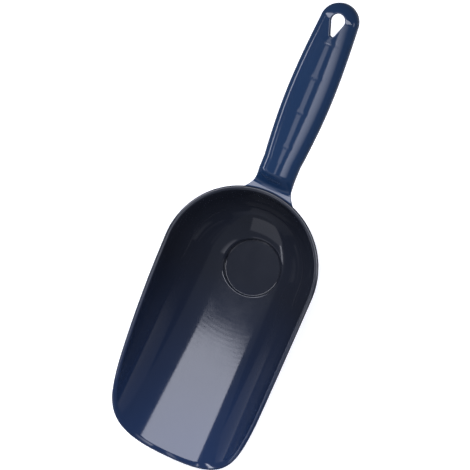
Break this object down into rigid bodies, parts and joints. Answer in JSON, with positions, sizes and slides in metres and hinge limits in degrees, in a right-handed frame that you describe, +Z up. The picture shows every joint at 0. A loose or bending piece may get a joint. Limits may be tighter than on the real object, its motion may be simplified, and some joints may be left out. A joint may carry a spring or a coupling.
{
  "type": "feed scoop",
  "caption": "Moulded plastic scoop with a deep trough-shaped bowl, a rounded open lip, a flat round foot and a crowned handle with a teardrop hang hole.",
  "frame": {"origin": "centre of the foot's flat underside", "axes": "+Z up out of the open bowl, +X towards the end of the handle, the pouring lip on the -X side"},
  "size_m": [0.3116, 0.1024, 0.0821],
  "materials": {
    "bowl_satin": "satin as moulded, blue black",
    "handle_gloss": "polished as moulded, navy blue"
  },
  "bodies": {
    "root": {"bowl_shell": "bowl_satin", "rim_bead": "bowl_satin", "foot_cup": "bowl_satin", "neck_flare": "handle_gloss", "handle_shell": "handle_gloss", "spine_rib": "handle_gloss", "cross_ribs": "handle_gloss", "hang_eye": "handle_gloss"}
  },
  "joints": []
}
